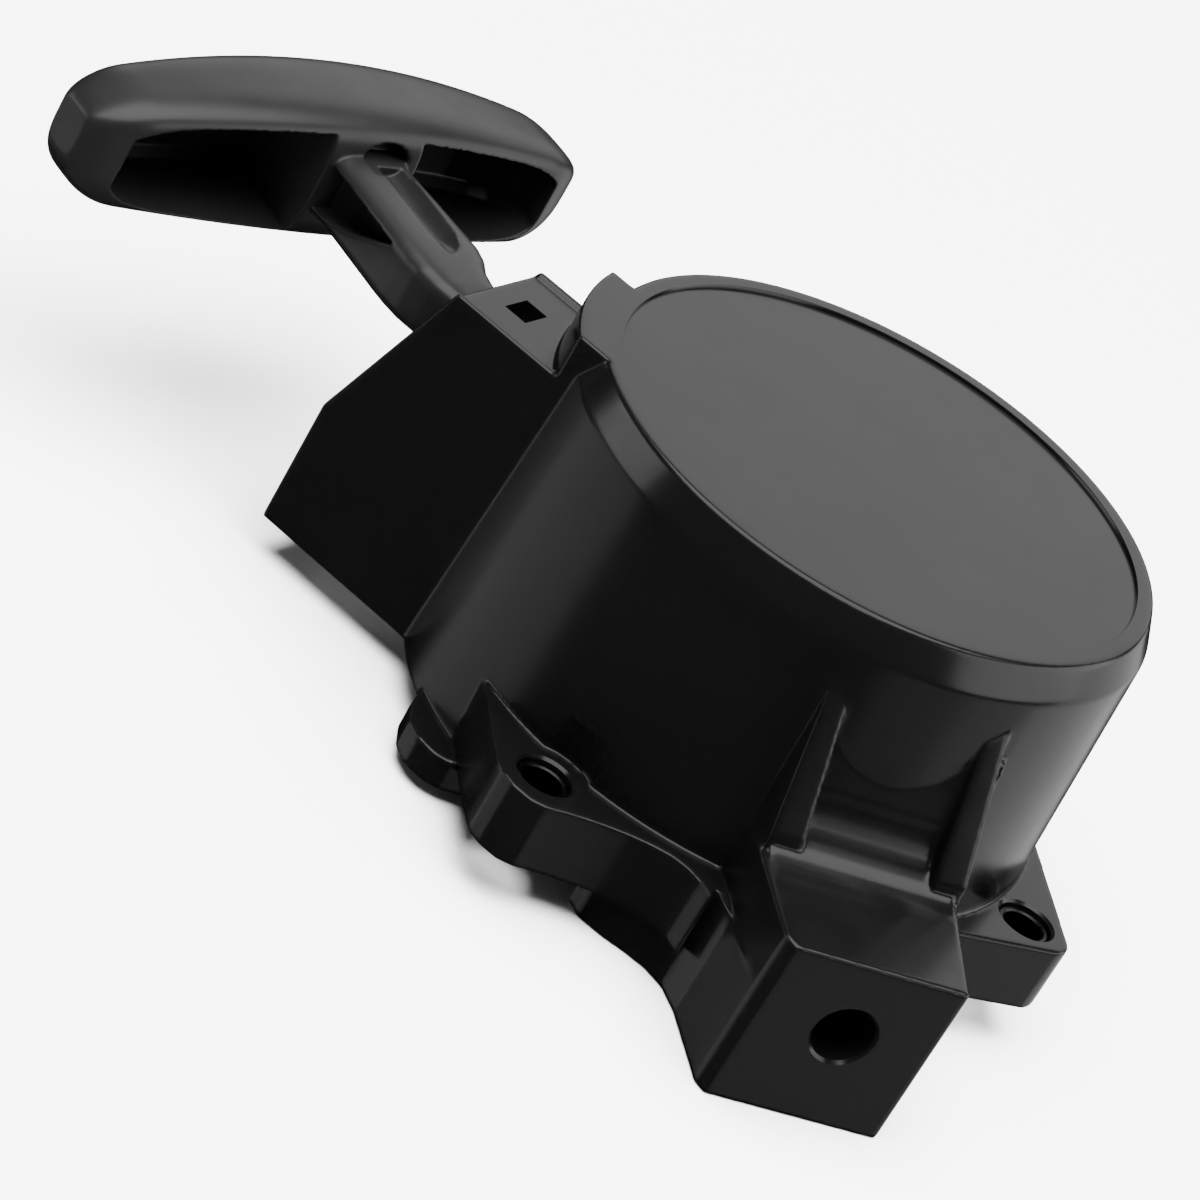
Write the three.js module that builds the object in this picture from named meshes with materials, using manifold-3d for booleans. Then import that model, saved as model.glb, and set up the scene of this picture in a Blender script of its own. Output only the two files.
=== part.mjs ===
// Recoil starter for a small engine: a deep drum housing with a rope tower, a side mounting
// block and four bolt ears; inside it a spiral spring, a rope pulley with two pawls and a
// friction plate on a central post; outside it a T handle on the rope.
// Millimetres, +Z up. The origin is on the crank axis in the plane of the drum's open rim.
import * as THREE from "three";
import { mergeVertices } from "three/addons/utils/BufferGeometryUtils.js";
import { ConvexGeometry } from "three/addons/geometries/ConvexGeometry.js";
import Module from "manifold-3d";

const wasm = await Module();
wasm.setup();

// ---------------------------------------------------------------- driving sizes
// Fits
const FIT = 0.15; // radial gap between round pieces that are fixed together
const RUN = 0.06; // radial gap of a running fit
const REST = 0.3; // gap between flat faces that rest on each other

// Drum
const DRUM_H = 60.9; // open rim to closed face
const DISC_R = 48; // flat closed face
const SHOULDER_R = 50.4; // outside radius below the bevelled shoulder
const SHOULDER_H = 5.6; // height of the bevelled shoulder
const RIM_R = 52.95; // outside radius at the open rim
const WALL_T = 2.5; // drum wall
const DISC_T = 3; // closed face
const PANEL_R = 45.1; // sunk panel in the closed face
const PANEL_DEPTH = 0.6;
const ROUND_SIDES = 96; // facets of the large round walls

// Rope tower
const TOWER_Y_NEAR = -33;
const TOWER_Y_FAR = -8;
const TOWER_REACH = 73.2; // axis to the tower's outer wall
const TOWER_TOP_REACH = 62.5; // axis to the outer edge of the tower's roof
const TOWER_BEND_Z = 22.6; // where the outer wall starts to lean in
const TOWER_TOP_Z = 52.1; // roof of the tower
const TOWER_WALL = 2.2;
const LUG_R = 52.6; // full-height corner between drum and tower
const ROOF_LIP_W = 1.6; // raised edges along the roof's two sides
const ROOF_LIP_H = 0.8;
const ROOF_HOLE = [4.4, 6.4]; // hole in the roof, along X and Y
const ROOF_HOLE_AT = [-55.8, -21];

// Rope line
const ROPE_R = 1.75;
const ROPE_Z = 43.1;
const ROPE_TURN = 19; // degrees from -X towards +Y
const ROPE_EXIT = [-65, -18.5]; // where the rope line leaves the tower
const EXIT_W = 17.6; // opening in the tower's leaning wall
const EXIT_SIDE = 1.4; // its middle beside the rope line
const EXIT_H = 13.4;

// Bolt ears
const EAR_PCD_R = 58.05;
const EAR_ANGLES = [-90, 4.8, 90, 175.2];
const EAR_LOW = 1.5; // underside of the ears above the open rim
const EAR_T = 13.5; // upper face of the ears
const EAR_TIP_R = 4.2; // corner radius of the pointed ears
const EAR_TIP_OUT = 3.8; // tip circle's centre beyond the bolt circle
const EAR_HOLE_R = 4.6;
const SLEEVE_T = 1; // wall of the compression sleeve
const SLEEVE_SHY = 1; // sleeve end below the ear's face

// Side block
const BLOCK_TURN = -41.95; // direction of its face
const BLOCK_REACH = 79.8;
const BLOCK_LEFT_W = 16.4; // block's sides from its bore, at the face on the right
const BLOCK_RIGHT_W = 14.8;
const BLOCK_SPREAD = 3.8; // how much wider the right side is at the drum
const BLOCK_TOP_Z = 23.5;
const BLOCK_DROP = 5.9; // block's underside below the open rim
const BLOCK_HOLE_R = 4.9;
const BLOCK_HOLE_Z = 10.5;
const BLOCK_HOLE_DEPTH = 24;
const BLOCK_BEVEL = 2.2;
const GUSSET_FOOT = 57.4; // gusset face at the block's top, from the axis
const GUSSET_TOP_Z = 51.5;
const GUSSET_FOOT_W = 5.8;
const GUSSET_TOP_W = 3.4;
const COVE_R = 10; // hollow curve between block top and drum wall

// Post, spring, pulley
const POST_R = 8;
const BOLT_R = 2.9;
const CUP_R = 36; // inside radius of the spring cup
const CUP_T = 2;
const SPRING_H = 5;
const STRIP_T = 0.7;
const SPRING_TURNS = 7;
const COVER_T = 0.9;
const PULLEY_R = 44;
const GROOVE_R = 34;
const GROOVE_W = 7.6;
const FLANGE_T = 1.9;
const HUB_WALL = 3.5; // hub wall round the post
const HUB_R = POST_R + HUB_WALL;
const COIL_OUT_R = 40.2;
const PAWL_T = 3.4;
const PAWL_PIVOT_R = 20;
const PAWL_PIN_R = 2.4;
const PAWL_EYE_R = 3.9;
const PLATE_R = 24;
const PLATE_T = 1.6;
const WASHER_T = 1.4;

// Handle
const GRIP_HALF_L = 51.5;
const GRIP_PALM = 57; // palm side at the middle, from the rope exit
const GRIP_FINGER = 34; // finger side at the middle
const GRIP_PALM_BOW = 0.0015; // palm side falls back by this times the square of the offset
const GRIP_FINGER_BOW = 0.002; // finger side moves out by this times the square of the offset
const GRIP_UP = 12; // upper and lower half heights at the middle
const GRIP_DOWN = 12.6;
const GRIP_UP_DROP = 0.0026; // upper face falls by this times the square of the offset
const GRIP_WALL = 3;
const GRIP_EDGE = 1.2; // lower wall at the hollows' mouths
const HOLLOW_FROM = 9.2; // hollows of the grip, from the rope line
const HOLLOW_TO = 43.5;
const STEM_HALF_H = 6;
const STEM_FAR_ROOT = 8.8; // stem's sides from the rope line, near the tower and at the grip
const STEM_FAR_GRIP = 7.3;
const STEM_NEAR_ROOT = 9.5;
const STEM_NEAR_GRIP = 8.4;
const STEM_NOSE = -3.2; // end of the stem's nose, inside the tower
const ROPE_CLEAR = 0.35;
const KNOT_R = 4.1;

// ---------------------------------------------------------------- helpers
const rad = (d) => (d * Math.PI) / 180;
const polar = (r, d) => [r * Math.cos(rad(d)), r * Math.sin(rad(d))];

// A closed three.js geometry as a solid; a surface that comes out inside out is turned round.
function solid(geometry) {
  const plain = geometry.clone();
  for (const key of Object.keys(plain.attributes)) {
    if (key !== "position") plain.deleteAttribute(key);
  }
  const merged = mergeVertices(plain, 1e-4);
  const position = merged.attributes.position.array;
  const index = merged.index.array;
  let volume = 0;
  const a = new THREE.Vector3();
  const b = new THREE.Vector3();
  const c = new THREE.Vector3();
  for (let i = 0; i < index.length; i += 3) {
    a.fromArray(position, 3 * index[i]);
    b.fromArray(position, 3 * index[i + 1]);
    c.fromArray(position, 3 * index[i + 2]);
    volume += a.dot(b.cross(c));
  }
  const triVerts = new Uint32Array(index);
  if (volume < 0) {
    for (let i = 0; i < triVerts.length; i += 3) {
      [triVerts[i + 1], triVerts[i + 2]] = [triVerts[i + 2], triVerts[i + 1]];
    }
  }
  return new wasm.Manifold(
    new wasm.Mesh({ numProp: 3, vertProperties: new Float32Array(position), triVerts }),
  );
}

// Solid of revolution about Z from [r, z] pairs.
function turned(profile, sides = 48) {
  const points = profile.map(([r, z]) => new THREE.Vector2(Math.max(r, 0), z));
  return solid(new THREE.LatheGeometry(points, sides).rotateX(Math.PI / 2));
}

const disc = (r, z0, z1, sides = 48) => turned([[0, z0], [r, z0], [r, z1], [0, z1]], sides);

function ring(r0, r1, z0, z1, sides = 48) {
  return turned([[r0, z0], [r1, z0], [r1, z1], [r0, z1], [r0, z0]], sides);
}

// Straight prism of an [x, y] outline.
function prism(outline, z0, z1) {
  const shape = new THREE.Shape(outline.map(([x, y]) => new THREE.Vector2(x, y)));
  const extruded = new THREE.ExtrudeGeometry(shape, {
    depth: z1 - z0,
    bevelEnabled: false,
    curveSegments: 8,
  });
  return solid(extruded.translate(0, 0, z0));
}

function box(x0, x1, y0, y1, z0, z1) {
  const shape = new THREE.BoxGeometry(x1 - x0, y1 - y0, z1 - z0);
  return solid(shape.translate((x0 + x1) / 2, (y0 + y1) / 2, (z0 + z1) / 2));
}

// Convex body round a list of [x, y, z] points.
const hull = (points) => solid(new ConvexGeometry(points.map((p) => new THREE.Vector3(...p))));

// Skin over closed sections that all have the same number of [x, y, z] points.
function skin(sections) {
  const count = sections[0].length;
  const position = [];
  for (const section of sections) for (const p of section) position.push(...p);
  const middle = (section) => {
    const sum = [0, 0, 0];
    for (const p of section) for (let k = 0; k < 3; k++) sum[k] += p[k] / count;
    return sum;
  };
  const first = position.length / 3;
  position.push(...middle(sections[0]), ...middle(sections[sections.length - 1]));
  const index = [];
  for (let i = 0; i < sections.length - 1; i++) {
    for (let j = 0; j < count; j++) {
      const k = (j + 1) % count;
      const a = i * count;
      const b = a + count;
      index.push(a + j, a + k, b + k, a + j, b + k, b + j);
    }
  }
  const last = (sections.length - 1) * count;
  for (let j = 0; j < count; j++) {
    const k = (j + 1) % count;
    index.push(first, k, j);
    index.push(first + 1, last + j, last + k);
  }
  const geometry = new THREE.BufferGeometry();
  geometry.setAttribute("position", new THREE.Float32BufferAttribute(position, 3));
  geometry.setIndex(index);
  return solid(geometry);
}

// Rigid move: columns x, y, z are the new directions of the axes, at is the new origin.
function placed(body, x, y, z, at) {
  return body.transform([...x, 0, ...y, 0, ...z, 0, ...at, 1]);
}

const spun = (body, degrees) => body.rotate([0, 0, degrees]);

function joined(list) {
  return list.reduce((sum, body) => sum.add(body));
}

function arc(r, from, to, steps) {
  const list = [];
  for (let i = 0; i <= steps; i++) list.push(polar(r, from + ((to - from) * i) / steps));
  return list;
}

// ---------------------------------------------------------------- shared places
const INSIDE_TOP = DRUM_H - DISC_T;
const wallOut = (z) => RIM_R + ((SHOULDER_R - RIM_R) * z) / (DRUM_H - SHOULDER_H);
const ropeDir = [-Math.cos(rad(ROPE_TURN)), Math.sin(rad(ROPE_TURN)), 0];
const crossDir = [Math.sin(rad(ROPE_TURN)), Math.cos(rad(ROPE_TURN)), 0];
const ropeOrigin = [...ROPE_EXIT, ROPE_Z];
// Tower to handle frame: x along the rope outwards, y across, z up.
const onRope = (body) => placed(body, ropeDir, crossDir.map((v) => -v), [0, 0, 1], ropeOrigin);
const alongRope = ROPE_EXIT[0] * ropeDir[0] + ROPE_EXIT[1] * ropeDir[1];
const ropeOffset = Math.abs(ROPE_EXIT[0] * ropeDir[1] - ROPE_EXIT[1] * ropeDir[0]);
const blockDir = [...polar(1, BLOCK_TURN), 0];
const blockSide = [-blockDir[1], blockDir[0], 0];
// Block frame: x outwards from the axis, y sideways, z up.
const onBlock = (body) => placed(body, blockDir, blockSide, [0, 0, 1], [0, 0, 0]);
// A body made along Z, laid along the x axis of one of those frames.
const laid = (body) => placed(body, [0, 0, -1], [0, 1, 0], [1, 0, 0], [0, 0, 0]);

// ---------------------------------------------------------------- housing
function drumOutside() {
  const s = SHOULDER_R;
  const h = DRUM_H;
  return turned(
    [
      [0, 0],
      [RIM_R, 0],
      [s, h - SHOULDER_H],
      [DISC_R + 0.12, h - 0.3],
      [DISC_R - 0.15, h],
      [0, h],
    ],
    ROUND_SIDES,
  );
}

function drumInside() {
  return turned(
    [
      [0, -1],
      [RIM_R - WALL_T, -1],
      [RIM_R - WALL_T, 0],
      [SHOULDER_R - WALL_T, INSIDE_TOP - 3],
      [SHOULDER_R - WALL_T - 3, INSIDE_TOP],
      [0, INSIDE_TOP],
    ],
    ROUND_SIDES,
  );
}

function towerOutside() {
  const side = [
    [-TOWER_REACH, 0],
    [-TOWER_REACH, TOWER_BEND_Z],
    [-TOWER_TOP_REACH, TOWER_TOP_Z],
    [-30, TOWER_TOP_Z],
    [-30, 0],
  ];
  const tall = prism(side, -TOWER_Y_FAR, -TOWER_Y_NEAR);
  const upright = placed(tall, [1, 0, 0], [0, 0, 1], [0, -1, 0], [0, 0, 0]);
  const near = Math.asin(TOWER_Y_NEAR / LUG_R) * (180 / Math.PI);
  const far = Math.asin(TOWER_Y_FAR / LUG_R) * (180 / Math.PI);
  const lug = prism(
    [[-30, TOWER_Y_FAR], [-30, TOWER_Y_NEAR], ...arc(LUG_R, 180 - near, 180 - far, 10)],
    TOWER_TOP_Z - 20,
    DRUM_H,
  );
  const lips = [TOWER_Y_NEAR, TOWER_Y_FAR - ROOF_LIP_W].map((y) => {
    const [low, high] = [TOWER_TOP_Z - 1, TOWER_TOP_Z + ROOF_LIP_H];
    return box(-TOWER_TOP_REACH + 0.02, -38, y, y + ROOF_LIP_W, low, high);
  });
  return joined([upright, lug, ...lips]);
}

function towerInside() {
  const w = TOWER_WALL;
  const side = [
    [-TOWER_REACH + w, -1],
    [-TOWER_REACH + w, TOWER_BEND_Z + 0.4],
    [-TOWER_TOP_REACH + w, TOWER_TOP_Z - w],
    [-30, TOWER_TOP_Z - w],
    [-30, -1],
  ];
  const hollow = prism(side, -TOWER_Y_FAR + w, -TOWER_Y_NEAR - w);
  return placed(hollow, [1, 0, 0], [0, 0, 1], [0, -1, 0], [0, 0, 0]);
}

// Cross wall of the tower that carries the rope guide, square to the rope.
const GUIDE_FACE = STEM_NOSE - 2.4;
const GUIDE_WALL = 3;
const GUIDE_R = 5;
function guideWall() {
  const slab = onRope(box(GUIDE_FACE - GUIDE_WALL, GUIDE_FACE, -24, 24, -40, 12));
  const room = box(
    -TOWER_REACH,
    -RIM_R + 6,
    TOWER_Y_NEAR + TOWER_WALL / 2,
    TOWER_Y_FAR - TOWER_WALL / 2,
    ROPE_Z - 13,
    TOWER_TOP_Z - TOWER_WALL / 2,
  );
  return slab.intersect(room);
}

// The ear over the mounting plane at -90 degrees, with its skirt that runs into the block.
const SKIRT = [
  [-116, 50.5],
  [-113, 52.4],
  [-109, 54],
  [-105, 56.2],
  [-101, 58.9],
  [-97.5, 61.6],
  [-95, 63.8],
  [-93, 65.5],
  [-90.5, 66.4],
  [-87.5, 66.3],
  [-85.3, 65],
  [-83.5, 63],
  [-81, 60.8],
  [-78, 58.8],
  [-74.5, 57.1],
  [-71, 56.1],
  [-67.5, 55.8],
  [-64.5, 56.7],
  [-62, 58.7],
  [-60, 61.4],
];
function nearEar() {
  const shift = EAR_PCD_R - 58.05;
  const outer = SKIRT.map(([d, r]) => polar(r + (r > 56 ? shift : 0), d));
  return prism([...arc(RIM_R - WALL_T - 0.6, -58, -116, 12), ...outer], EAR_LOW, EAR_T);
}

function pointedEar(degrees) {
  const tip = [];
  for (let i = 0; i < 20; i++) {
    const [x, y] = polar(EAR_TIP_R, i * 18);
    tip.push([EAR_PCD_R + EAR_TIP_OUT + x, y]);
  }
  const root = arc(wallOut(EAR_T) - 0.25, -46, 46, 12);
  const points = [];
  for (const [x, y] of [...tip, ...root, [RIM_R - WALL_T - 12, 0]]) {
    points.push([x, y, EAR_LOW]);
    points.push([x, y, EAR_T]);
  }
  return spun(hull(points), degrees);
}

const earBodies = [
  nearEar(),
  pointedEar(EAR_ANGLES[1]),
  pointedEar(EAR_ANGLES[2]),
  pointedEar(EAR_ANGLES[3]),
];

// Small foot lug beside the tower, a little lower than the rim.
function footLug() {
  const outline = [
    ...arc(RIM_R - WALL_T, -101, -126, 8),
    polar(52.9, -125),
    polar(56.2, -120.5),
    polar(58.6, -116),
    polar(59.2, -112),
    polar(58.4, -108.5),
    polar(56.3, -106),
    polar(52.9, -104),
  ];
  return prism(outline, -3.6, 1.8);
}

// Side block: drop skirt, body, gussets and the hollow curve under the drum wall.
function blockOutside() {
  const left = -BLOCK_LEFT_W;
  const right = BLOCK_RIGHT_W;
  const wide = right + BLOCK_SPREAD;
  const out = BLOCK_REACH;
  const b = BLOCK_BEVEL;
  const nose = [
    [out - b, left],
    [out, left + b * 0.55],
    [out, right - 0.4],
    [out - 0.4, right],
    [58, wide],
  ];
  const flare = [
    [53.5, wide + 2.2],
    [49, wide + 5.8],
    [44, wide + 11],
    [36, wide + 11.5],
    [36, left - 15],
    [44.5, left - 12.4],
    [47.6, left - 9.4],
    [50.2, left - 5.8],
    [53, left - 2.8],
    [56.5, left - 0.8],
    [62, left],
  ];
  const body = onBlock(prism([...nose, [49, wide + 0.6], [49, left + 0.8]], -BLOCK_DROP, BLOCK_TOP_Z));
  const skirt = onBlock(prism([...nose, ...flare], -BLOCK_DROP, EAR_T));
  const apron = prism(
    [...arc(RIM_R - 0.4, -76, -5, 24), ...arc(RIM_R - WALL_T, -5, -76, 24)],
    -BLOCK_DROP,
    1,
  );
  // Cove between the block's top and the drum wall.
  const cove = [[30, BLOCK_TOP_Z - 1]];
  const start = 62.2;
  cove.push([start, BLOCK_TOP_Z - 1], [start, BLOCK_TOP_Z]);
  for (let i = 1; i <= 8; i++) {
    const a = rad(270 - (90 * i) / 8);
    const x = start + COVE_R * Math.cos(a);
    cove.push([x, BLOCK_TOP_Z + COVE_R + COVE_R * Math.sin(a)]);
  }
  // Above the arc it leans on until it has run into the drum wall all along its width.
  const coveTop = BLOCK_TOP_Z + COVE_R;
  cove.push([start - COVE_R - 1.6, coveTop + 5], [start - COVE_R - 3, coveTop + 11.5]);
  cove.push([30, coveTop + 11.5]);
  const coveBody = onBlock(
    placed(prism(cove, -wide + 1, -left - 1.5), [1, 0, 0], [0, 0, 1], [0, -1, 0], [0, 0, 0]),
  );
  const gussets = [-1, 1].map((side) => {
    const outer = side < 0 ? left + 1 : wide + 0.2;
    const top = side < 0 ? left + 1 : right + 0.4;
    const r = SHOULDER_R - 0.3;
    const topX = Math.sqrt(r * r - top * top);
    const points = [];
    for (const [x0, x1, y, width, z] of [
      [40, GUSSET_FOOT, outer, GUSSET_FOOT_W, BLOCK_TOP_Z - 1],
      [40, GUSSET_FOOT - 0.4, outer, GUSSET_FOOT_W, BLOCK_TOP_Z + 3],
      [40, topX + 0.2, top, GUSSET_TOP_W, GUSSET_TOP_Z],
    ]) {
      for (const x of [x0, x1]) {
        points.push([x, y, z]);
        points.push([x, y - side * width, z]);
      }
    }
    return onBlock(hull(points));
  });
  return joined([body, skirt, apron, coveBody, ...gussets]);
}

const blockBore = onBlock(
  laid(disc(BLOCK_HOLE_R, BLOCK_REACH - BLOCK_HOLE_DEPTH, BLOCK_REACH + 5, 40)).translate([
    0,
    0,
    BLOCK_HOLE_Z,
  ]),
);

function makeHousing() {
  const far = RIM_R + 40;
  // Everything outside the drum wall, hollowed by the drum, so nothing reaches into it.
  let shell = joined([drumOutside(), towerOutside(), ...earBodies, footLug(), blockOutside()]);
  // The block's core is hollow from below, as a moulded block is.
  const coreEnd = BLOCK_REACH - BLOCK_HOLE_DEPTH - 5;
  const core = onBlock(box(30, coreEnd, -11, 11, -far, BLOCK_TOP_Z - 3.5));
  shell = shell.subtract(drumInside().add(disc(RIM_R - WALL_T, -9, 0.5, ROUND_SIDES)));
  shell = shell.subtract(core.subtract(disc(RIM_R - 0.2, -far, far, ROUND_SIDES)));
  shell = shell.subtract(towerInside().subtract(disc(RIM_R - WALL_T - 3, -9, 8, ROUND_SIDES)));
  const guide = guideWall();
  shell = shell.add(guide);
  // Opening in the leaning wall for the handle's nose.
  const mouth = [];
  for (let i = 0; i < 24; i++) {
    const a = rad(i * 15);
    const c = Math.cos(a);
    const s = Math.sin(a);
    const y = EXIT_SIDE + (EXIT_W / 2) * Math.sign(c) * Math.abs(c) ** 0.6;
    const z = (EXIT_H / 2) * Math.sign(s) * Math.abs(s) ** 0.6;
    mouth.push([-z, y]);
  }
  shell = shell.subtract(onRope(laid(prism(mouth, GUIDE_FACE + 0.01, 24))));
  shell = shell.subtract(onRope(laid(disc(GUIDE_R, GUIDE_FACE - 9, GUIDE_FACE + 1, 32))));
  // Roof hole.
  const [hx, hy] = ROOF_HOLE_AT;
  shell = shell.subtract(
    box(
      hx - ROOF_HOLE[0] / 2,
      hx + ROOF_HOLE[0] / 2,
      hy - ROOF_HOLE[1] / 2,
      hy + ROOF_HOLE[1] / 2,
      TOWER_TOP_Z - 6,
      TOWER_TOP_Z + 6,
    ),
  );
  // Sunk panel in the closed face.
  shell = shell.subtract(
    turned(
      [
        [0, DRUM_H - PANEL_DEPTH],
        [PANEL_R - 0.5, DRUM_H - PANEL_DEPTH],
        [PANEL_R, DRUM_H + 1],
        [0, DRUM_H + 1],
      ],
      ROUND_SIDES,
    ),
  );
  // Relief in the wall behind the near ear's bolt, for the bolt head.
  const [ex, ey] = polar(EAR_PCD_R, EAR_ANGLES[0]);
  shell = shell.subtract(
    turned(
      [
        [0, EAR_T],
        [7.6, EAR_T],
        [7.2, EAR_T + 7],
        [4, EAR_T + 10],
        [0, EAR_T + 11],
      ],
      32,
    ).translate([ex, ey, 0]),
  );
  for (const angle of EAR_ANGLES) {
    const [x, y] = polar(EAR_PCD_R, angle);
    shell = shell.subtract(disc(EAR_HOLE_R, -10, EAR_T + 30, 32).translate([x, y, 0]));
  }
  shell = shell.subtract(blockBore);
  // Post with a bolt hole, and the spring cup, hanging from the closed face.
  const post = ring(BOLT_R + REST, POST_R, POST_END_Z, INSIDE_TOP + 0.5, 48);
  const plug = disc(BOLT_R + 1, 52, INSIDE_TOP + 0.5, 24);
  const cupEnd = COVER_Z + COVER_T + REST;
  const cup = ring(CUP_R, CUP_R + CUP_T, cupEnd, INSIDE_TOP + 0.5, 72);
  const slit = box(CUP_R - 1, CUP_R + CUP_T + 1, -1.2, 1.2, 0, INSIDE_TOP - 0.6);
  const slot = spun(slit, SPRING_OUT_AT);
  const bosses = [0, 120, 240].map((a) => {
    const [x, y] = polar(COVER_SCREW_R, a + 60);
    return disc(3.1, cupEnd, INSIDE_TOP + 0.5, 20).translate([x, y, 0]);
  });
  const pilots = [0, 120, 240].map((a) => {
    const [x, y] = polar(COVER_SCREW_R, a + 60);
    return disc(1.35, cupEnd - 1, INSIDE_TOP - 1, 16).translate([x, y, 0]);
  });
  shell = joined([shell, post, plug, cup.subtract(slot), ...bosses]);
  return shell.subtract(joined(pilots));
}

// ---------------------------------------------------------------- inner pieces
const PULLEY_LOW = ROPE_Z - GROOVE_W / 2 - FLANGE_T;
const PULLEY_HIGH = ROPE_Z + GROOVE_W / 2 + FLANGE_T;
const COVER_Z = PULLEY_HIGH + 1.8;
const SPRING_Z = COVER_Z + COVER_T + 0.5;
const COVER_SCREW_R = CUP_R + 5.4;
const SPRING_OUT_AT = 200;
const HUB_TOP = INSIDE_TOP - 0.6;
const SPRING_IN_AT = 20;
const PULLEY_EYE_AT = 90;
const END_KNOT_AT = GROOVE_R - 6;
const END_KNOT_R = 2.9;
const END_KNOT_HALF = 2.5;
const END_WELL_R = 4.2;

function makePulley() {
  const body = turned(
    [
      [POST_R + RUN, PULLEY_LOW],
      [PULLEY_R, PULLEY_LOW],
      [PULLEY_R, PULLEY_LOW + FLANGE_T * 0.7],
      [GROOVE_R, PULLEY_LOW + FLANGE_T],
      [GROOVE_R, PULLEY_HIGH - FLANGE_T],
      [PULLEY_R, PULLEY_HIGH - FLANGE_T * 0.7],
      [PULLEY_R, PULLEY_HIGH],
      [HUB_R, PULLEY_HIGH],
      [HUB_R, HUB_TOP],
      [POST_R + RUN, HUB_TOP],
      [POST_R + RUN, PULLEY_LOW],
    ],
    60,
  );
  // Weight-saving pockets from below, leaving six spokes and a thick ring for the pawl pins.
  const pockets = [];
  for (let i = 0; i < 6; i++) {
    const from = 60 * i + 38;
    const outer = arc(GROOVE_R - 2, from, from + 44, 8);
    const outline = [...outer, ...arc(PAWL_PIVOT_R + 6, from + 44, from, 6)];
    pockets.push(prism(outline, PULLEY_LOW - 1, PULLEY_HIGH - 2.2));
  }
  const pins = [0, 180].map((a) => {
    const [x, y] = polar(PAWL_PIVOT_R, a);
    return disc(PAWL_PIN_R + FIT, PULLEY_LOW - 1, PULLEY_LOW + 8, 20).translate([x, y, 0]);
  });
  // Slot in the hub for the spring's inner hook.
  const slot = box(POST_R + 1.2, HUB_R + 1, -0.8, 0.8, SPRING_Z - 0.2, HUB_TOP + 1);
  // Hole for the rope's end, out of the groove into a pocket under the web.
  const eye = laid(disc(ROPE_R + 0.4, 0, 20, 12)).translate([GROOVE_R - 9, 0, ROPE_Z]);
  const knotWell = disc(END_WELL_R, PULLEY_LOW - 1, ROPE_Z + END_KNOT_R + REST, 20);
  return body
    .subtract(joined(pockets))
    .subtract(joined(pins))
    .subtract(spun(slot, SPRING_IN_AT))
    .subtract(spun(eye.add(knotWell.translate([END_KNOT_AT, 0, 0])), PULLEY_EYE_AT));
}

// The rope's inner end: a knot in the pulley's well, with a tail out to the groove.
function makePulleyKnot() {
  const profile = [[0, -END_KNOT_HALF]];
  for (const c of [-END_KNOT_HALF / 2, END_KNOT_HALF / 2]) {
    for (let i = 0; i <= 4; i++) {
      const a = rad(-70 + 35 * i);
      const r = END_KNOT_R - 1.3 + 1.3 * Math.cos(a);
      profile.push([r, c + (END_KNOT_HALF / 2) * Math.sin(a)]);
    }
  }
  profile.push([0, END_KNOT_HALF]);
  const tail = ropePiece(0, GROOVE_R - REST - END_KNOT_AT);
  const knot = laid(turned(profile, 16).add(tail)).translate([END_KNOT_AT, 0, ROPE_Z]);
  return spun(knot, PULLEY_EYE_AT);
}

function makeSpring() {
  const inner = HUB_R + 1.6;
  const outer = CUP_R - 1.6;
  const steps = SPRING_TURNS * 20;
  const sections = [];
  const z0 = SPRING_Z;
  const z1 = SPRING_Z + SPRING_H;
  const total = 360 * SPRING_TURNS + ((SPRING_OUT_AT - SPRING_IN_AT + 360) % 360);
  // The coils lie close together near the cup, as on a wound-down spring.
  const radius = (t) => inner + (outer - inner) * (1 - (1 - t) ** 1.25);
  const centre = [];
  centre.push([polar(HUB_R - 1.6, SPRING_IN_AT - 0.5), SPRING_IN_AT]);
  centre.push([polar(inner - 0.6, SPRING_IN_AT - 0.2), SPRING_IN_AT]);
  for (let i = 0; i <= steps; i++) {
    const t = i / steps;
    const angle = SPRING_IN_AT + 6 + (total - 10) * t;
    centre.push([polar(radius(t), angle), angle + 90]);
  }
  centre.push([polar(outer + 0.9, SPRING_IN_AT + total - 1), SPRING_IN_AT + total + 25]);
  centre.push([polar(CUP_R + CUP_T - 0.2, SPRING_IN_AT + total), SPRING_IN_AT + total]);
  for (let i = 0; i < centre.length; i++) {
    const [p] = centre[i];
    const [q] = centre[Math.max(i - 1, 0)];
    const [s] = centre[Math.min(i + 1, centre.length - 1)];
    const dx = s[0] - q[0];
    const dy = s[1] - q[1];
    const length = Math.hypot(dx, dy);
    const nx = (-dy / length) * (STRIP_T / 2);
    const ny = (dx / length) * (STRIP_T / 2);
    sections.push([
      [p[0] + nx, p[1] + ny, z0],
      [p[0] - nx, p[1] - ny, z0],
      [p[0] - nx, p[1] - ny, z1],
      [p[0] + nx, p[1] + ny, z1],
    ]);
  }
  return skin(sections);
}

function makeCover() {
  const z0 = COVER_Z;
  let plate = ring(HUB_R + 0.5, CUP_R + CUP_T + 0.8, z0, z0 + COVER_T, 72);
  for (let a = 60; a < 360; a += 120) {
    const [x, y] = polar(COVER_SCREW_R, a);
    plate = plate.add(disc(3.6, z0, z0 + COVER_T, 24).translate([x, y, 0]));
  }
  for (let a = 60; a < 360; a += 120) {
    const [x, y] = polar(COVER_SCREW_R, a);
    plate = plate.subtract(disc(1.7, z0 - 1, z0 + 2, 16).translate([x, y, 0]));
  }
  return plate;
}

function makeCoverScrew(degrees) {
  const [x, y] = polar(COVER_SCREW_R, degrees);
  const shank = disc(1.2, COVER_Z - 1, INSIDE_TOP - 2, 12);
  const head = disc(2.5, COVER_Z - REST - 1.3, COVER_Z - REST, 16);
  return shank.add(head).translate([x, y, 0]);
}

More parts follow.
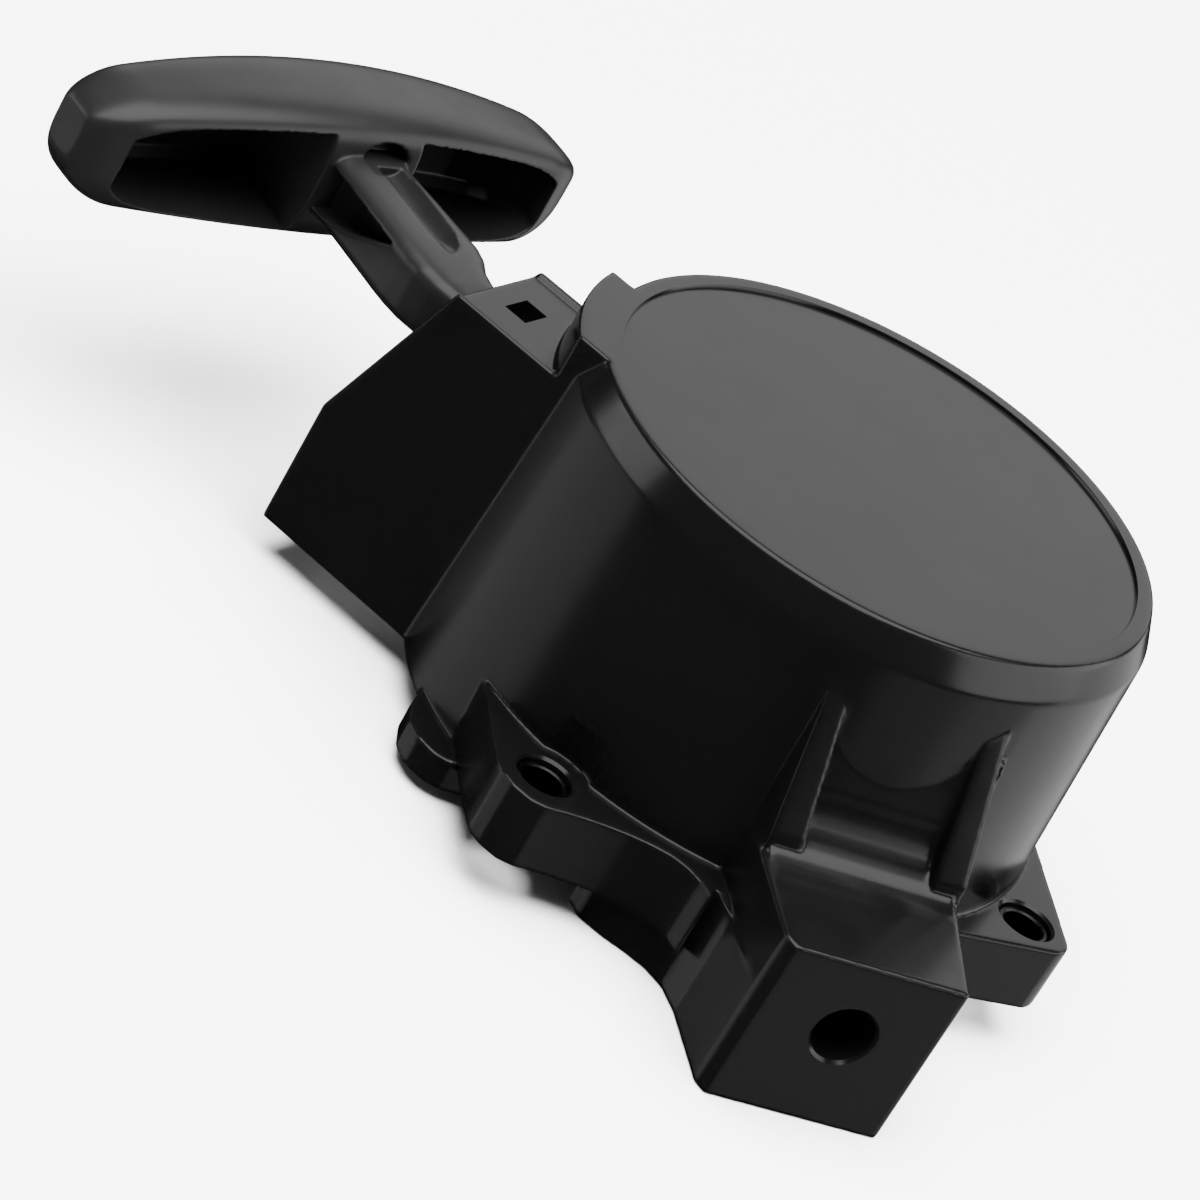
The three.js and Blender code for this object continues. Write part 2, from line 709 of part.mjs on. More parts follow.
// Rope wound on the pulley, one ring with the shape of the turns lying side by side.
function makeCoil() {
  const profile = [];
  const low = ROPE_Z - GROOVE_W / 2 + 0.35;
  const high = ROPE_Z + GROOVE_W / 2 - 0.35;
  const middle = ROPE_Z;
  const r0 = GROOVE_R + REST;
  profile.push([r0, low], [COIL_OUT_R - 1.9, low]);
  for (const c of [(low + middle) / 2, (middle + high) / 2]) {
    for (let i = 0; i <= 4; i++) {
      const a = rad(-80 + 40 * i);
      const half = (high - low) / 4;
      profile.push([COIL_OUT_R - 1.9 + 1.9 * Math.cos(a), c + half * 0.96 * Math.sin(a)]);
    }
  }
  profile.push([COIL_OUT_R - 1.9, high], [r0, high], [r0, low]);
  return turned(profile, 48);
}

// A piece of rope along Z.
const ropePiece = (z0, z1) => disc(ROPE_R, z0, z1, 12);

// Knot: a stopper of two rounded rolls.
function makeKnot(z, r) {
  const profile = [[ROPE_R + 0.25, z - 2.6]];
  for (const c of [z - 1.3, z + 1.3]) {
    for (let i = 0; i <= 4; i++) {
      const a = rad(-70 + 35 * i);
      profile.push([r - 1.6 + 1.6 * Math.cos(a), c + 1.35 * Math.sin(a)]);
    }
  }
  profile.push([ROPE_R + 0.25, z + 2.6], [ROPE_R + 0.25, z - 2.6]);
  return turned(profile, 20);
}

// Rope guide: a flanged bush in the tower's cross wall.
function makeGuide() {
  const a = GUIDE_FACE - GUIDE_WALL;
  const bore = ROPE_R + 0.55;
  const b = GUIDE_FACE + REST;
  const profile = [
    [bore, a - 0.6],
    [GUIDE_R - FIT, a - 0.6],
    [GUIDE_R - FIT, b],
    [GUIDE_R + 1.2, b],
    [GUIDE_R + 1.2, b + 1.1],
    [bore + 1.4, b + 1.6],
    [bore + 0.4, b + 1.1],
    [bore, b + 0.2],
    [bore, a - 0.6],
  ];
  return onRope(laid(turned(profile, 32)));
}

// ---------------------------------------------------------------- pawls and plate
const PAWL_HIGH = PULLEY_LOW - REST;
const PAWL_LOW = PAWL_HIGH - PAWL_T;
const PLATE_HIGH = PAWL_LOW - REST;
const PLATE_LOW = PLATE_HIGH - PLATE_T;
const POST_END_Z = PLATE_HIGH + REST;

function makePawl(degrees) {
  // Drawn for the pivot on +X: the arm runs round the hub and ends in a hooked nose that
  // leads when the pulley is pulled round.
  const outline = [];
  for (let i = 0; i <= 4; i++) {
    const [x, y] = polar(PAWL_EYE_R, 60 - i * 19);
    outline.push([PAWL_PIVOT_R + x, y]);
  }
  outline.push([22.9, -6.4], [21, -12], [18.4, -16], [16.4, -18], [14.6, -18.2], [13.4, -15.6]);
  outline.push([14.6, -12.6], [16.6, -8], [16.9, -4.2], [16.1, -0.4], [17, 2.6]);
  const body = prism(outline, PAWL_LOW, PAWL_HIGH);
  const eye = disc(PAWL_PIN_R + RUN, PAWL_LOW - 1, PAWL_HIGH + 1, 20);
  return spun(body.subtract(eye.translate([PAWL_PIVOT_R, 0, 0])), degrees);
}

function makePawlPin(degrees) {
  const [x, y] = polar(PAWL_PIVOT_R, degrees);
  const pin = disc(PAWL_PIN_R, PAWL_LOW - 0.05, PULLEY_LOW + 7.6, 20);
  return pin.translate([x, y, 0]);
}

function makePlate() {
  // Two windows show the pawls' noses.
  const windows = [0, 180].map((a) => {
    const outline = [...arc(PLATE_R + 2, -62, -32, 6), ...arc(12.5, -32, -62, 6)];
    return spun(prism(outline, PLATE_LOW - 2, PLATE_HIGH + 1), a);
  });
  const plate = ring(BOLT_R + REST, PLATE_R, PLATE_LOW, PLATE_HIGH, 48);
  const bead = ring(PLATE_R - 7.5, PLATE_R - 6, PLATE_LOW - 0.8, PLATE_LOW + 0.2, 48);
  return plate.add(bead).subtract(joined(windows));
}

// Brake spring between pulley hub and plate: a short coil round the post's end.
function makeBrakeSpring() {
  const wire = 0.5;
  const z0 = PLATE_HIGH + REST + wire;
  const z1 = PULLEY_LOW - REST - wire;
  const turns = 1.75;
  const points = [];
  for (let i = 0; i <= 28; i++) {
    const t = i / 28;
    points.push(new THREE.Vector3(...polar(POST_R + 1.4, 360 * turns * t), z0 + (z1 - z0) * t));
  }
  const section = new THREE.Shape();
  section.absarc(0, 0, wire, 0, Math.PI * 2, false);
  return solid(
    new THREE.ExtrudeGeometry(section, {
      steps: 34,
      curveSegments: 4,
      bevelEnabled: false,
      extrudePath: new THREE.CatmullRomCurve3(points),
    }),
  );
}

function makeCentreBolt() {
  const under = PLATE_LOW - REST - WASHER_T - REST;
  const head = [];
  for (let i = 0; i < 6; i++) head.push(polar(5 / Math.cos(rad(30)), 60 * i + 15));
  return prism(head, under - 4.2, under).add(disc(BOLT_R, under - 1, 51.5, 24));
}

// ---------------------------------------------------------------- handle
const gripPalm = (y) => GRIP_PALM - GRIP_PALM_BOW * y * y;
const gripFinger = (y) => GRIP_FINGER + GRIP_FINGER_BOW * y * y;
const gripUp = (y) => GRIP_UP - GRIP_UP_DROP * y * y;

function gripSection(y, sides) {
  const t = Math.abs(y) / GRIP_HALF_L;
  const round = t > 0.8 ? Math.sqrt(Math.max(1 - ((t - 0.8) / 0.2) ** 2, 0.02)) : 1;
  const near = gripFinger(y);
  const far = gripPalm(y);
  const depth = ((far - near) / 2) * (0.45 + 0.55 * round);
  const middle = (far + near) / 2;
  const points = [];
  for (let i = 0; i < sides; i++) {
    const a = rad((360 * (i + 0.5)) / sides);
    const c = Math.cos(a);
    const s = Math.sin(a);
    const height = (s > 0 ? gripUp(y) : GRIP_DOWN) * (0.35 + 0.65 * round);
    points.push([
      middle + depth * Math.sign(c) * Math.abs(c) ** 0.5,
      y,
      height * Math.sign(s) * Math.abs(s) ** 0.5,
    ]);
  }
  return points;
}

function gripBody() {
  const half = [1, 0.985, 0.955, 0.91, 0.86, 0.8, 0.62, 0.42, 0.2];
  const stations = [...half.map((t) => -t), 0, ...half.reverse()];
  return skin(stations.map((t) => gripSection(t * GRIP_HALF_L, 20)));
}

function gripHollow(side) {
  const list = [];
  for (let i = 0; i <= 4; i++) {
    const y = side * (HOLLOW_FROM + ((HOLLOW_TO - HOLLOW_FROM) * i) / 4);
    const near = gripFinger(y) - 6;
    const far = gripPalm(y) - GRIP_WALL - (i === 4 ? 2 : 0);
    const up = gripUp(y) - GRIP_WALL - (i === 4 ? 1 : 0);
    const down = -GRIP_DOWN + GRIP_WALL + (i === 4 ? 2 : 0);
    list.push([
      [near, y, down + GRIP_EDGE - GRIP_WALL],
      [far - 2, y, down],
      [far, y, down + 2],
      [far, y, up - 2],
      [far - 2, y, up],
      [near, y, up],
    ]);
  }
  return skin(side > 0 ? list : list.reverse());
}

// Rounded section of the stem: near is its half width on the +Y side, far on the other.
function stemSection(x, near, far, halfH) {
  const points = [];
  for (let i = 0; i < 20; i++) {
    const a = rad(18 * i + 9);
    const c = Math.cos(a);
    const s = Math.sin(a);
    const y = ((near - far) + (near + far) * Math.sign(c) * Math.abs(c) ** 0.45) / 2;
    points.push([x, y, halfH * Math.sign(s) * Math.abs(s) ** 0.45]);
  }
  return points;
}

function makeHandle() {
  const grip = gripBody().subtract(gripHollow(-1)).subtract(gripHollow(1));
  const near = STEM_NEAR_ROOT;
  const far = STEM_FAR_ROOT;
  const h = STEM_HALF_H;
  // The near side runs straight into the tower, the far side steps in before it.
  let stem = skin([
    stemSection(STEM_NOSE, near - 4.9, 4, h - 1.9),
    stemSection(STEM_NOSE + 1.4, near - 3.3, 5, h - 1.1),
    stemSection(2, near - 1.3, 5.6, h - 0.6),
    stemSection(6, near - 0.3, 6.2, h - 0.3),
    stemSection(9.5, near, far - 0.7, h - 0.1),
    stemSection(12.5, near, far, h),
    stemSection(GRIP_FINGER + 2, STEM_NEAR_GRIP, STEM_FAR_GRIP, h),
    stemSection(GRIP_PALM - GRIP_WALL, STEM_NEAR_GRIP, STEM_FAR_GRIP, h),
  ]);
  // Channel along the stem's upper and lower faces.
  for (const side of [-1, 1]) {
    const points = [];
    for (const [x, width, deep] of [[12.5, 1.6, 2.2], [16, 2.6, 2.4], [GRIP_FINGER - 1, 2.6, 2.4]]) {
      for (const y of [-width, width]) {
        points.push([x, y, side * (h - deep)]);
        points.push([x, y * 1.25, side * (h + 1)]);
      }
    }
    points.push([10, -1.2, side * (h + 1)]);
    points.push([10, 1.2, side * (h + 1)]);
    stem = stem.subtract(hull(points));
  }
  // Curved side pockets that deepen towards the grip.
  const pocketSide = [
    [13.5, 3.6],
    [16, 2.2],
    [19.5, 0.4],
    [23.5, -1.6],
    [28, -3.3],
    [33, -4.4],
    [GRIP_FINGER + 4, -4.6],
    [GRIP_FINGER + 4, 3.9],
    [14, 3.9],
  ];
  for (const side of [-1, 1]) {
    const cut = placed(prism(pocketSide, 4.2, 14), [1, 0, 0], [0, 0, 1], [0, side, 0], [0, 0, 0]);
    stem = stem.subtract(cut);
  }
  let handle = grip.add(stem);
  // Rope bore, and the well for the knot, open to the finger side under the grip.
  handle = handle.subtract(laid(disc(ROPE_R + ROPE_CLEAR, STEM_NOSE - 3, GRIP_PALM - 10, 16)));
  handle = handle.subtract(laid(disc(KNOT_R + 0.6, KNOT_SEAT, GRIP_PALM + 4, 24)));
  return handle;
}
const KNOT_SEAT = GRIP_PALM - 14;

// Plug that closes the knot well on the palm side.
function makeHandleCap() {
  const r = KNOT_R + 0.6 - FIT;
  const end = GRIP_PALM - 0.2;
  return onRope(
    laid(
      turned(
        [
          [0, end - 3.6],
          [r, end - 3.6],
          [r, end - 0.8],
          [r - 0.9, end],
          [0, end + 0.35],
        ],
        24,
      ),
    ),
  );
}

// ---------------------------------------------------------------- assembly
const root = new THREE.Group();

function look(color, roughness, metalness) {
  return { color, roughness, metalness };
}
const PLASTIC = look(0x17181a, 0.42, 0);
const GRIP = look(0x1b1c1e, 0.5, 0);
const NYLON = look(0x26272a, 0.5, 0);
const STEEL = look(0x8d9094, 0.35, 0.9);
const ZINC = look(0xa5a7a2, 0.4, 0.9);
const SPRING = look(0x4b5560, 0.32, 0.95);
const ROPE = look(0xd8d4c6, 0.85, 0);
const BRASS = look(0xb08d4a, 0.35, 0.9);

function add(name, body, { color, roughness, metalness }) {
  const mesh = body.getMesh();
  const count = mesh.numVert;
  const position = new Float32Array(count * 3);
  for (let i = 0; i < count; i++) {
    for (let k = 0; k < 3; k++) position[3 * i + k] = mesh.vertProperties[mesh.numProp * i + k];
  }
  const geometry = new THREE.BufferGeometry();
  geometry.setAttribute("position", new THREE.BufferAttribute(position, 3));
  geometry.setIndex(new THREE.BufferAttribute(new Uint32Array(mesh.triVerts), 1));
  geometry.computeVertexNormals();
  const material = new THREE.MeshStandardMaterial({ color, roughness, metalness });
  const object = new THREE.Mesh(geometry, material);
  object.name = name;
  root.add(object);
}

add("housing", makeHousing(), PLASTIC);
EAR_ANGLES.forEach((angle, i) => {
  const [x, y] = polar(EAR_PCD_R, angle);
  const r = EAR_HOLE_R - FIT;
  const sleeve = ring(r - SLEEVE_T, r, EAR_LOW, EAR_T - SLEEVE_SHY, 32).translate([x, y, 0]);
  add("bolt_sleeve_" + (i + 1), sleeve, ZINC);
});
const insertEnd = BLOCK_REACH - 8;
const insert = ring(3.2, BLOCK_HOLE_R - FIT, BLOCK_REACH - BLOCK_HOLE_DEPTH + 1, insertEnd, 40);
add("block_insert", onBlock(laid(insert).translate([0, 0, BLOCK_HOLE_Z])), BRASS);
add("rope_guide", makeGuide(), STEEL);
add("recoil_spring", makeSpring(), SPRING);
add("spring_cover", makeCover(), ZINC);
[60, 180, 300].forEach((a, i) => add("cover_screw_" + (i + 1), makeCoverScrew(a), STEEL));
add("pulley", makePulley(), NYLON);
add("rope_coil", makeCoil(), ROPE);
add("pulley_knot", makePulleyKnot(), ROPE);
add("pawl_1", makePawl(0), STEEL);
add("pawl_2", makePawl(180), STEEL);
add("pawl_pin_1", makePawlPin(0), STEEL);
add("pawl_pin_2", makePawlPin(180), STEEL);
add("brake_spring", makeBrakeSpring(), SPRING);
add("friction_plate", makePlate(), ZINC);
const washer = ring(BOLT_R + REST, 8, PLATE_LOW - REST - WASHER_T, PLATE_LOW - REST, 32);
add("centre_washer", washer, ZINC);
add("centre_bolt", makeCentreBolt(), ZINC);
add("handle", onRope(makeHandle()), GRIP);
add("handle_cap", makeHandleCap(), GRIP);
// Straight rope, from just clear of the wound turns to the knot in the handle.
const COIL_CLEAR = COIL_OUT_R + ROPE_R + REST;
const START = Math.sqrt(COIL_CLEAR ** 2 - ropeOffset ** 2) - alongRope;
add("rope_lead", onRope(laid(ropePiece(START, KNOT_SEAT + 7.2))), ROPE);
add("handle_knot", onRope(laid(makeKnot(KNOT_SEAT + REST + 2.6, KNOT_R))), ROPE);

export default root;
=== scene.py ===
"""Recoil starter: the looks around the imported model, in Blender 4.5."""

import math

import bmesh
import bpy
import numpy as np
from mathutils import Matrix, Vector


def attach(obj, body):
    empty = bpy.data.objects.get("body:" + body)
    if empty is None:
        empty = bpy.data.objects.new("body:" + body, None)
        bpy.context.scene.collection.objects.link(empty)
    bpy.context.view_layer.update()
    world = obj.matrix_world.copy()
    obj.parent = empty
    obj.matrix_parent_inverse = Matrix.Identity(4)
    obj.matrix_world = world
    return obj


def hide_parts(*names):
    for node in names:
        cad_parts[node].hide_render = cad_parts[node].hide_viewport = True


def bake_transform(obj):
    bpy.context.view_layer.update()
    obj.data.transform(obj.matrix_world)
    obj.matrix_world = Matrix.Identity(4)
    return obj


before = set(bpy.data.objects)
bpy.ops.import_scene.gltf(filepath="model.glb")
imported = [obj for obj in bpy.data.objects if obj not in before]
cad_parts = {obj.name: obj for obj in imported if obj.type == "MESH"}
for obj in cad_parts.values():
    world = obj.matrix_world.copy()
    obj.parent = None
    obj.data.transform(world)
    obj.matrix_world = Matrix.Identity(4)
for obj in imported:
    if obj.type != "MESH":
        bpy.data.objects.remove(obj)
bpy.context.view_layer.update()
MM = 0.001

# ------------------------------------------------------------------ sizes, in millimetres
DRUM_H = 60.9
DISC_R = 48.0
SHOULDER_R = 50.4
SHOULDER_H = 5.6
RIM_R = 52.95
WALL_T = 2.5
DISC_T = 3.0
PANEL_R = 45.1
PANEL_DEPTH = 0.6
TOWER_TOP_Z = 52.1
ROOF_HOLE = ((-55.8, -21.0), (4.4, 6.4))
EAR_PCD_R = 58.05
EAR_ANGLES = (-90.0, 4.8, 90.0, 175.2)
EAR_LOW = 1.5
EAR_TOP = 13.5
EAR_HOLE_R = 4.6
BLOCK_TURN = -41.95
BLOCK_REACH = 79.8
BLOCK_DROP = 5.9
BLOCK_HOLE_R = 4.9
BLOCK_HOLE_Z = 10.5
BLOCK_HOLE_DEPTH = 24.0
ROPE_TURN = 19.0
ROPE_EXIT = (-65.0, -18.5, 43.1)
ROPE_R = 1.75

# ------------------------------------------------------------------ frames
def polar(radius, degrees):
    a = math.radians(degrees)
    return radius * math.cos(a), radius * math.sin(a)


def axes(x, y, z, at):
    """Matrix whose columns are the directions x, y, z and the place at, in millimetres."""
    rows = [(x[k], y[k], z[k], at[k]) for k in range(3)]
    return Matrix((*rows, (0, 0, 0, 1)))


_c, _s = math.cos(math.radians(ROPE_TURN)), math.sin(math.radians(ROPE_TURN))
ON_ROPE = axes((-_c, _s, 0), (-_s, -_c, 0), (0, 0, 1), ROPE_EXIT)
_bx, _by = polar(1, BLOCK_TURN)
ON_BLOCK = axes((_bx, _by, 0), (-_by, _bx, 0), (0, 0, 1), (0, 0, 0))
ALONG_X = axes((0, 0, -1), (0, 1, 0), (1, 0, 0), (0, 0, 0))


# ------------------------------------------------------------------ mesh helpers
def mesh_piece(name, points, faces, matrix=None):
    """An object from points in millimetres, placed by matrix, in metres."""
    points = np.asarray(points, float)
    if matrix is not None:
        m = np.array(matrix)
        points = points @ m[:3, :3].T + m[:3, 3]
    mesh = bpy.data.meshes.new(name)
    mesh.from_pydata((points * MM).tolist(), [], faces)
    mesh.update()
    piece = bpy.data.objects.new(name, mesh)
    bpy.context.scene.collection.objects.link(piece)
    return piece


def turned(name, profile, steps=96, matrix=None, closed=False):
    """Solid of revolution about Z from (r, z) pairs that run up its outside.

    closed joins the last pair to the first, for a ring.
    """
    points, faces, rings = [], [], []
    for r, z in profile:
        if r < 1e-6:
            rings.append([len(points)] * steps)
            points.append((0, 0, z))
        else:
            rings.append(list(range(len(points), len(points) + steps)))
            for i in range(steps):
                x, y = polar(r, 360 * i / steps)
                points.append((x, y, z))
    pairs = list(zip(rings, rings[1:] + ([rings[0]] if closed else [])))
    for low, high in pairs:
        for i in range(steps):
            j = (i + 1) % steps
            corners = []
            for c in (low[i], low[j], high[j], high[i]):
                if c not in corners:
                    corners.append(c)
            if len(corners) > 2:
                faces.append(corners)
    return mesh_piece(name, points, faces, matrix)


def skinned(name, sections, matrix=None):
    """Tube over sections that have the same number of points, with flat ends."""
    n = len(sections[0])
    points = [p for section in sections for p in section]
    faces = []
    for i in range(len(sections) - 1):
        a, b = i * n, (i + 1) * n
        for j in range(n):
            k = (j + 1) % n
            faces.append((a + j, a + k, b + k, b + j))
    faces.append(tuple(range(n - 1, -1, -1)))
    faces.append(tuple(range((len(sections) - 1) * n, len(sections) * n)))
    return mesh_piece(name, points, faces, matrix)


def block(name, low, high, matrix=None):
    (x0, y0, z0), (x1, y1, z1) = low, high
    ends = [[(x, y0, z0), (x, y1, z0), (x, y1, z1), (x, y0, z1)] for x in (x0, x1)]
    return skinned(name, ends, matrix)


def facing_out(piece):
    """Turns every face of a closed mesh outwards."""
    bm = bmesh.new()
    bm.from_mesh(piece.data)
    bmesh.ops.remove_doubles(bm, verts=bm.verts, dist=2e-6)
    bmesh.ops.recalc_face_normals(bm, faces=bm.faces)
    bm.to_mesh(piece.data)
    bm.free()
    return piece


def applied(piece):
    """piece with its modifiers made part of its mesh."""
    deps = bpy.context.evaluated_depsgraph_get()
    mesh = bpy.data.meshes.new_from_object(piece.evaluated_get(deps))
    piece.modifiers.clear()
    piece.data = mesh
    return piece


def combined(piece, tools, operation):
    for tool in tools:
        facing_out(tool)
        modifier = piece.modifiers.new("combine", "BOOLEAN")
        modifier.operation = operation
        modifier.solver = "MANIFOLD"
        modifier.object = tool
        applied(piece)
        bpy.data.objects.remove(tool)
    return piece


def cad_copy(node, name):
    """A loose copy of a CAD node's mesh."""
    piece = bpy.data.objects.new(name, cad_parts[node].data.copy())
    piece.data.materials.clear()
    bpy.context.scene.collection.objects.link(piece)
    return facing_out(piece)


def crisp_mesh(piece, depth, scale):
    """An even mesh over the piece that keeps its edges and corners sharp."""
    modifier = piece.modifiers.new("crisp", "REMESH")
    modifier.mode = "SHARP"
    modifier.octree_depth = depth
    modifier.scale = scale
    modifier.sharpness = 1.0
    modifier.use_remove_disconnected = False
    return applied(piece)


def coordinates(piece):
    co = np.empty(len(piece.data.vertices) * 3, np.float32)
    piece.data.vertices.foreach_get("co", co)
    return co.reshape(-1, 3).astype(float)


def set_coordinates(piece, co):
    piece.data.vertices.foreach_set("co", co.astype(np.float32).ravel())
    piece.data.update()


def normals(piece):
    no = np.empty(len(piece.data.vertices) * 3, np.float32)
    piece.data.vertex_normals.foreach_get("vector", no)
    return no.reshape(-1, 3).astype(float)


def relaxed(piece, rounds, strength=0.5):
    """Each vertex moves towards the middle of its neighbours, which rounds the edges."""
    co = coordinates(piece)
    edges = np.empty(len(piece.data.edges) * 2, np.int32)
    piece.data.edges.foreach_get("vertices", edges)
    a, b = edges.reshape(-1, 2).T
    count = np.bincount(a, minlength=len(co)) + np.bincount(b, minlength=len(co))
    for _ in range(rounds):
        total = np.zeros_like(co)
        for k in range(3):
            total[:, k] = np.bincount(a, co[b, k], len(co)) + np.bincount(b, co[a, k], len(co))
        co += strength * (total / count[:, None] - co)
    set_coordinates(piece, co)
    return piece


def pressed_round(piece, profiles, reach):
    """Vertices that lie near a turned outline and face its way move onto it."""
    co, no = coordinates(piece) / MM, normals(piece)
    for inside, outline in profiles:
        radius = np.hypot(co[:, 0], co[:, 1])
        ray = co[:, :2] / np.maximum(radius, 1e-9)[:, None]
        no_r = (no[:, :2] * ray).sum(1)
        for (r0, z0), (r1, z1) in zip(outline, outline[1:]):
            length = math.hypot(r1 - r0, z1 - z0)
            nr, nz = (z1 - z0) / length, (r0 - r1) / length
            if inside:
                nr, nz = -nr, -nz
            along = ((radius - r0) * (r1 - r0) + (co[:, 2] - z0) * (z1 - z0)) / length**2
            off = (radius - r0) * nr + (co[:, 2] - z0) * nz
            facing = np.clip((no_r * nr + no[:, 2] * nz - 0.95) / 0.035, 0, 1)
            w = facing * (np.abs(off) < reach) * (along >= -0.02) * (along <= 1.02) * off
            co[:, :2] -= (w * nr)[:, None] * ray
            co[:, 2] -= w * nz
            radius = np.hypot(co[:, 0], co[:, 1])
    set_coordinates(piece, co * MM)
    return piece


def thinned(piece, most):
    """Fewer triangles where the surface is flat."""
    count = sum(len(polygon.vertices) - 2 for polygon in piece.data.polygons)
    if count > most:
        modifier = piece.modifiers.new("thin", "DECIMATE")
        modifier.ratio = most / count
        applied(piece)
    return piece


def smooth_shaded(piece, sharp_above=180):
    piece.data.polygons.foreach_set("use_smooth", [True] * len(piece.data.polygons))
    if sharp_above < 180:
        piece.data.set_sharp_from_angle(angle=math.radians(sharp_above))
    return piece


# ------------------------------------------------------------------ materials
def new_material(name):
    material = bpy.data.materials.new(name)
    material.use_nodes = True
    tree = material.node_tree
    return material, tree, tree.nodes["Principled BSDF"]


def noise(tree, scale, detail=4.0, rough=0.55):
    place = tree.nodes.new("ShaderNodeTexCoord")
    node = tree.nodes.new("ShaderNodeTexNoise")
    node.inputs["Scale"].default_value = scale
    node.inputs["Detail"].default_value = detail
    node.inputs["Roughness"].default_value = rough
    tree.links.new(place.outputs["Object"], node.inputs["Vector"])
    return node.outputs["Fac"]


def ramp(tree, value, stops):
    node = tree.nodes.new("ShaderNodeValToRGB")
    node.color_ramp.elements[0].position, node.color_ramp.elements[0].color = stops[0]
    node.color_ramp.elements[1].position, node.color_ramp.elements[1].color = stops[-1]
    for position, color in stops[1:-1]:
        node.color_ramp.elements.new(position).color = color
    tree.links.new(value, node.inputs["Fac"])
    return node.outputs["Color"]


def mapped(tree, value, low, high, from_low=0.3, from_high=0.7):
    node = tree.nodes.new("ShaderNodeMapRange")
    node.inputs["From Min"].default_value = from_low
    node.inputs["From Max"].default_value = from_high
    node.inputs["To Min"].default_value = low
    node.inputs["To Max"].default_value = high
    tree.links.new(value, node.inputs["Value"])
    return node.outputs["Result"]


def bump(tree, shader, value, strength, distance):
    node = tree.nodes.new("ShaderNodeBump")
    node.inputs["Strength"].default_value = strength
    node.inputs["Distance"].default_value = distance
    tree.links.new(value, node.inputs["Height"])
    tree.links.new(node.outputs["Normal"], shader.inputs["Normal"])
    return node


def grey(value, tint=(1.0, 1.0, 1.0)):
    return (value * tint[0], value * tint[1], value * tint[2], 1.0)


def moulded_plastic(name, level, rough, gloss, grain):
    """Injection-moulded plastic: a fine spark-eroded grain, soft clouds and uneven sheen."""
    material, tree, shader = new_material(name)
    clouds = noise(tree, 38.0, 5.0)
    dark, pale = grey(level * 0.86), grey(level * 1.15, (1.0, 1.01, 1.03))
    colour = ramp(tree, clouds, [(0.25, dark), (0.75, pale)])
    tree.links.new(colour, shader.inputs["Base Color"])
    fine = noise(tree, 1500.0, 2.0)
    blotch = noise(tree, 90.0, 6.0)
    roughness = mapped(tree, blotch, rough - 0.035, rough + 0.045)
    tree.links.new(roughness, shader.inputs["Roughness"])
    shader.inputs["Specular IOR Level"].default_value = gloss
    bump(tree, shader, fine, grain, 0.00008)
    return material


def metal(name, colour, rough, brush_scale=900.0, stretch=(1, 1, 18)):
    material, tree, shader = new_material(name)
    place = tree.nodes.new("ShaderNodeTexCoord")
    mapping = tree.nodes.new("ShaderNodeMapping")
    mapping.inputs["Scale"].default_value = stretch
    tree.links.new(place.outputs["Object"], mapping.inputs["Vector"])
    lines = tree.nodes.new("ShaderNodeTexNoise")
    lines.inputs["Scale"].default_value = brush_scale
    lines.inputs["Detail"].default_value = 3.0
    tree.links.new(mapping.outputs["Vector"], lines.inputs["Vector"])
    stain = noise(tree, 120.0, 5.0)
    tint = ramp(tree, stain, [(0.3, (*[c * 0.8 for c in colour], 1)), (0.7, (*colour, 1))])
    tree.links.new(tint, shader.inputs["Base Color"])
    roughness = mapped(tree, lines.outputs["Fac"], rough - 0.08, rough + 0.12)
    tree.links.new(roughness, shader.inputs["Roughness"])
    shader.inputs["Metallic"].default_value = 1.0
    bump(tree, shader, lines.outputs["Fac"], 0.12, 0.00004)
    return material


def braided_rope(name):
    material, tree, shader = new_material(name)
    fibres = noise(tree, 3200.0, 3.0)
    stains = noise(tree, 160.0, 4.0)
    colour = ramp(tree, stains, [(0.3, (0.46, 0.43, 0.36, 1)), (0.7, (0.70, 0.68, 0.60, 1))])
    tree.links.new(colour, shader.inputs["Base Color"])
    shader.inputs["Roughness"].default_value = 0.85
    shader.inputs["Sheen Weight"].default_value = 0.25
    bump(tree, shader, fibres, 0.5, 0.00015)
    return material


HOUSING_PLASTIC = moulded_plastic("housing plastic", 0.0016, 0.20, 0.5, 0.02)
GRIP_PLASTIC = moulded_plastic("grip plastic", 0.0040, 0.33, 0.5, 0.03)
NYLON = moulded_plastic("pulley nylon", 0.035, 0.42, 0.5, 0.1)
STEEL = metal("oiled steel", (0.50, 0.51, 0.53), 0.30)
BLACK_STEEL = metal("blackened sleeve steel", (0.05, 0.05, 0.055), 0.34)
ZINC = metal("zinc plate", (0.62, 0.62, 0.58), 0.36, 500.0, (1, 1, 1))
SPRING_STEEL = metal("blued spring strip", (0.20, 0.24, 0.30), 0.26, 700.0, (1, 1, 0.1))
BRASS = metal("aged brass", (0.24, 0.18, 0.09), 0.40)
ROPE = braided_rope("braided cord")


def finished(piece, material, slot, body, *nodes):
    """Material, body and the CAD nodes it stands for. The slot argument is not used."""
    piece.data.materials.clear()
    piece.data.materials.append(material)
    if body:
        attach(piece, body)
    if nodes:
        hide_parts(*nodes)
    return piece


def refined(node, name, material, slot, body, bevel=0.15, crease=32):
    """A CAD node's own shape with its edges broken and its round walls shaded round."""
    piece = cad_copy(node, name)
    if bevel:
        modifier = piece.modifiers.new("edges", "BEVEL")
        modifier.width = bevel * MM
        modifier.segments = 2
        modifier.limit_method = "ANGLE"
        modifier.angle_limit = math.radians(crease)
        applied(piece)
    smooth_shaded(piece, crease)
    return finished(piece, material, slot, body, node)


